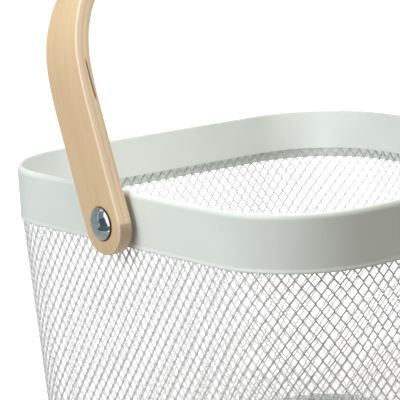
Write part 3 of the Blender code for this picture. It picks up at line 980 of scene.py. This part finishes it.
rivetSizes = {
    "headRadius": 0.0083,
    "headRise": 0.0034,
    "headEdge": 0.0006,
    "undercut": 0.0008,
    "shankRadius": 0.0030,
    "seatGap": 0.0003,
    "tailRadius": 0.0048,
    "tailRise": 0.0018,
    "tailFlat": 0.0030,
    "tailRound": 0.0014,
    "washerThickness": 0.0010,
    "washerGap": 0.00045,
    "domeSteps": 14,
    "tailSteps": 8,
    "spinSteps": 72,
    "smoothAngle": 30,
}


def spinProfile(name, profile):
    # profile is a list of (radius, rise) pairs
    piece = startSpin(name, (profile[0][0], 0, profile[0][1]))
    for (radius, rise), (nextRadius, nextRise) in zip(profile, profile[1:]):
        extrude((nextRadius - radius, 0, nextRise - rise))
    spinRound(rivetSizes["spinSteps"])
    stopEditing()
    tidyNormals(piece)
    return piece


def strapFaceAtPivot(depth):
    flare = strapSizes["flare"]
    start = strapStart()
    middle = start.x + math.tan(flare) * (strapSizes["pivotHeight"] - start.z)
    return middle + depth / math.cos(flare)


def headProfile():
    radius, rise, undercut = rivetSizes["headRadius"], rivetSizes["headRise"], rivetSizes["undercut"]
    sphere = (radius ** 2 + rise ** 2) / (2 * rise)
    opening = math.asin(radius / sphere)
    profile = [(0.0, 0.0), (radius - undercut, 0.0), (radius, undercut / 2)]
    for step in range(rivetSizes["domeSteps"] + 1):
        angle = opening * (1 - step / rivetSizes["domeSteps"])
        level = rivetSizes["headEdge"] + sphere * (math.cos(angle) - math.cos(opening))
        profile.append((sphere * math.sin(angle), level))
    return profile


def tailProfile(headSeat):
    # the closed tail on its washer inside the band, and the shank out to under the head
    bandLean = basketSizes["bandSlope"] * (basketSizes["height"] - strapSizes["pivotHeight"])
    washer = basketSizes["halfX"] - bandLean - bandSizes["width"] - rivetSizes["washerGap"]
    seat = washer - rivetSizes["washerThickness"] - rivetSizes["seatGap"]
    top = seat - rivetSizes["tailRise"]
    radius, flat, shank = rivetSizes["tailRadius"], rivetSizes["tailFlat"], rivetSizes["shankRadius"]
    shankEnd = headSeat + rivetSizes["headRise"] / 2
    profile = [(0.0, top)]
    profile += [(flat + (radius - flat) * out, top + rivetSizes["tailRound"] * (1 - across))
                for across, out in quarterTurn(rivetSizes["tailSteps"])]
    return profile + [(radius, seat), (shank, seat), (shank, shankEnd), (0.0, shankEnd)]


def makeRivet(name, side, material, replaced):
    clearSelection()
    height = strapSizes["pivotHeight"]
    headSeat = strapFaceAtPivot(strapSizes["thickness"] / 2 + rivetSizes["seatGap"])
    head = spinProfile(name, headProfile())
    head.rotation_euler = (0, side * (math.pi / 2 + strapSizes["flare"]), 0)
    head.location = (side * headSeat, 0, height)
    clearSelection()
    shank = spinProfile(name + "Shank", tailProfile(headSeat))
    shank.rotation_euler = (0, side * math.pi / 2, 0)
    shank.location = (0, 0, height)
    for part in (head, shank):
        applyPlace(part)
    joinPieces(head, shank)
    swingBack(head)
    finishPiece(head, "bail", material, rivetSizes["smoothAngle"], replaced)


# Studio: white floor and surround, a broad lamp from the left, one above, a weak one in the bowl,
# and cards for the steel to reflect

studioLook = {
    "worldColor": (1.0, 0.935, 0.83),
    "worldStrength": 0.385,
    "floorColor": (0.26, 0.25, 0.235),
    "floorSeen": (0.38, 0.38, 0.38),
    "floorGlow": 0.68,
    "glowReach": (0.17, 0.38),
    "floorSize": 30,
    "floorHeight": -0.0002,
    "floorRoughness": 0.9,
}

# name: (kind, place, size, watts, colour, aim, seen in reflections)
lampLook = {
    "keyLamp": ("AREA", (-0.86, 0.050, 0.52), 0.55, 6.3, (0.925, 0.935, 1.0), (-0.12, 0, 0.15), False),
    "topLamp": ("AREA", (-0.10, -0.20, 1.42), 0.7, 13.0, (1.0, 0.99, 1.0), (0, 0, 0.1), True),
    "bowlLamp": ("POINT", (-0.034, 0.006, 0.126), 0.07, 0.325, (0.96, 0.97, 1.0), (0, 0, 0), True),
}

# upright cards round the left rivet: (azimuth, distance, rise, width, height, tilt, colour)
cardLook = {
    "greyCard": (107, 1.00, 0.40, 2.90, 1.15, 0, (0.33, 0.37, 0.33)),
    "streakCard": (142, 0.938, 0.42, 0.17, 0.75, 30, (0.50, 0.58, 0.62)),
    "tealCard": (160, 0.792, 0.528, 0.48, 0.60, 30, (0.19, 0.27, 0.29)),
    "darkCard": (182, 0.742, 0.009, 0.48, 0.60, 30, (0.065, 0.105, 0.14)),
    "lightCard": (195, 1.00, 0.45, 0.90, 1.20, 0, (1.6, 1.6, 1.6)),
    "cameraCard": (244, 1.20, 0.30, 1.50, 1.10, 0, (0.10, 0.10, 0.11)),
}

# cards lying on the floor: (place, size, turn, colour)
lowCardLook = {
    "lowGreyCard": ((-0.80, 0.72, 0.002), (1.8, 1.6), 0, (0.44, 0.47, 0.42)),
    "lowDarkCard": ((-0.690, -0.078, 0.004), (0.68, 0.50), 188, (0.085, 0.12, 0.12)),
}


def addLamp(name, kind, place, size, power, color, aim, glossy):
    lampData = bpy.data.lights.new(name, kind)
    if kind == "AREA":
        lampData.shape = "DISK"
        lampData.size = size
    else:
        lampData.shadow_soft_size = size / 2
    lampData.energy = power
    lampData.color = color
    lamp = bpy.data.objects.new(name, lampData)
    lamp.location = place
    direction = Vector(aim) - Vector(place)
    lamp.rotation_euler = direction.to_track_quat("-Z", "Y").to_euler()
    lamp.visible_camera = False
    lamp.visible_glossy = glossy
    bpy.context.collection.objects.link(lamp)


def addCard(name, place, turn, size, color):
    # a glowing card that only reflections see
    clearSelection()
    bpy.ops.mesh.primitive_plane_add(size=1, location=place, rotation=turn)
    card = nameActive(name)
    card.scale = (size[0], size[1], 1)
    material, tree, shader = freshMaterial(name)
    setInputs(shader, Base_Color=(0, 0, 0, 1), Roughness=1.0, Emission_Color=(*color, 1),
              Emission_Strength=1.0)
    card.data.materials.append(material)
    for way in ("camera", "diffuse", "transmission", "volume_scatter", "shadow"):
        setattr(card, "visible_" + way, False)


def addCards():
    rivet = Vector((-strapFaceAtPivot(strapSizes["thickness"] / 2), 0, strapSizes["pivotHeight"]))
    for name, (azimuth, distance, rise, width, height, tilt, color) in cardLook.items():
        around = math.radians(azimuth)
        place = rivet + Vector((math.cos(around) * distance, math.sin(around) * distance, rise))
        upright = Matrix.Rotation(around + math.pi / 2, 3, "Z") @ Matrix.Rotation(math.pi / 2, 3, "X")
        turn = (upright @ Matrix.Rotation(math.radians(tilt), 3, "Z")).to_euler()
        addCard(name, place, turn, (width, height), color)
    for name, (place, size, turn, color) in lowCardLook.items():
        addCard(name, place, (0, 0, math.radians(turn)), size, color)


def seenRays(tree, x, y):
    # 1 for what the camera sees, directly, in a mirror or through glass
    ray = addNode(tree, "ShaderNodeLightPath", x, y)
    camera, glass, mirror = (ray.outputs["Is " + kind + " Ray"]
                             for kind in ("Camera", "Transmission", "Glossy"))
    direct = mathNode(tree, "ADD", x + 100, y, camera, glass)
    return mathNode(tree, "ADD", x + 200, y, direct, mirror, clamp=True)


def makeStudio():
    world = bpy.data.worlds.new("studio")
    bpy.context.scene.world = world
    world.use_nodes = True
    tree = world.node_tree
    tree.nodes.clear()
    seen = seenRays(tree, -600, 0)
    lit = addNode(tree, "ShaderNodeBackground", -200, -150)
    setInputs(lit, Color=(*studioLook["worldColor"], 1), Strength=studioLook["worldStrength"])
    white = addNode(tree, "ShaderNodeBackground", -200, 100)
    setInputs(white, Color=(1, 1, 1, 1), Strength=1.0)
    mix = addNode(tree, "ShaderNodeMixShader", 0, 0)
    tree.links.new(seen, mix.inputs[0])
    tree.links.new(lit.outputs[0], mix.inputs[1])
    tree.links.new(white.outputs[0], mix.inputs[2])
    out = addNode(tree, "ShaderNodeOutputWorld", 200, 0)
    tree.links.new(mix.outputs[0], out.inputs["Surface"])

    clearSelection()
    bpy.ops.mesh.primitive_plane_add(size=studioLook["floorSize"], location=(0, 0, studioLook["floorHeight"]))
    ground = nameActive("studioFloor")
    material, tree, shader = freshMaterial("studioFloor")
    setInputs(shader, Roughness=studioLook["floorRoughness"])
    seen = seenRays(tree, 300, -300)
    tree.links.new(mixColor(tree, 600, 0, seen, studioLook["floorColor"], studioLook["floorSeen"]),
                   shader.inputs["Base Color"])
    # the floor's glow is weaker round the foot, so that the shadow there isn't lost in white
    place = addNode(tree, "ShaderNodeTexCoord", 100, -500)
    reach = addNode(tree, "ShaderNodeVectorMath", 300, -500, operation="LENGTH")
    tree.links.new(place.outputs["Object"], reach.inputs[0])
    strength = rangeNode(tree, 500, -500, reach.outputs["Value"], *studioLook["glowReach"],
                         studioLook["floorGlow"], 1.0)
    glow = addNode(tree, "ShaderNodeEmission", 900, -400)
    tree.links.new(mathNode(tree, "MULTIPLY", 700, -300, seen, strength), glow.inputs["Strength"])
    both = addNode(tree, "ShaderNodeAddShader", 1100, -200)
    tree.links.new(shader.outputs[0], both.inputs[0])
    tree.links.new(glow.outputs[0], both.inputs[1])
    tree.links.new(both.outputs[0], tree.nodes["Material Output"].inputs["Surface"])
    ground.data.materials.append(material)

    for name, settings in lampLook.items():
        addLamp(name, *settings)
    addCards()
    bpy.context.scene.view_settings.view_transform = "Standard"
    print("studio ready")


cameraLook = {
    "place": (-0.6906, -0.8072, 0.3643),
    "yaw": 0.6528,
    "pitch": 0.1920,
    "roll": -0.0470,
    "lens": 181.2,
    "sensor": 36,
    "clipEnd": 60,
}


def makeCamera():
    yaw, pitch, roll = cameraLook["yaw"], cameraLook["pitch"], cameraLook["roll"]
    forward = Vector((math.sin(yaw) * math.cos(pitch), math.cos(yaw) * math.cos(pitch), -math.sin(pitch)))
    right = Vector((math.cos(yaw), -math.sin(yaw), 0))
    up = right.cross(forward)
    sideways = right * math.cos(roll) + up * math.sin(roll)
    upward = up * math.cos(roll) - right * math.sin(roll)
    cameraData = bpy.data.cameras.new("photoCamera")
    cameraData.lens = cameraLook["lens"]
    cameraData.sensor_width = cameraLook["sensor"]
    cameraData.clip_end = cameraLook["clipEnd"]
    camera = bpy.data.objects.new("photoCamera", cameraData)
    bpy.context.collection.objects.link(camera)
    rows = zip(sideways, upward, -forward, cameraLook["place"])
    camera.matrix_world = Matrix((*rows, (0, 0, 0, 1)))
    bpy.context.scene.camera = camera
    print("camera set")


def paintNode(name, material):
    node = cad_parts[name]
    node.data.materials.clear()
    node.data.materials.append(material)


def buildScene():
    coatTexture = makeCoatTexture()
    bandCoat = makeCoat("bandCoat", coatTexture, "band")
    netCoat = makeCoat("netCoat", coatTexture, "net")
    floorCoat = makeCoat("floorCoat", coatTexture, "floor")
    nylon = makeCoat("paleNylon", coatTexture, "nylon", coatLook["nylonPeel"], coatLook["nylonRoughness"])
    birch = makeBirch(strapSizes["thickness"], strapSizes["width"] / 2, endReach(), strapLength(),
                      rivetSizes["headRadius"])
    steel = makeSteel(coatTexture)
    print("materials ready")
    makeRimBand(bandCoat)
    makeWallNet(netCoat)
    makeFloorNet(floorCoat)
    makeBaseHoop(bandCoat)
    makeStrap(birch)
    makeRivet("rivetLeft", -1, steel, "rivet_left")
    makeRivet("rivetRight", 1, steel, "rivet_right")
    for side in ("left", "right"):
        paintNode("washer_" + side, steel)
        paintNode("spacer_" + side, nylon)
    makeStudio()
    makeCamera()


buildScene()
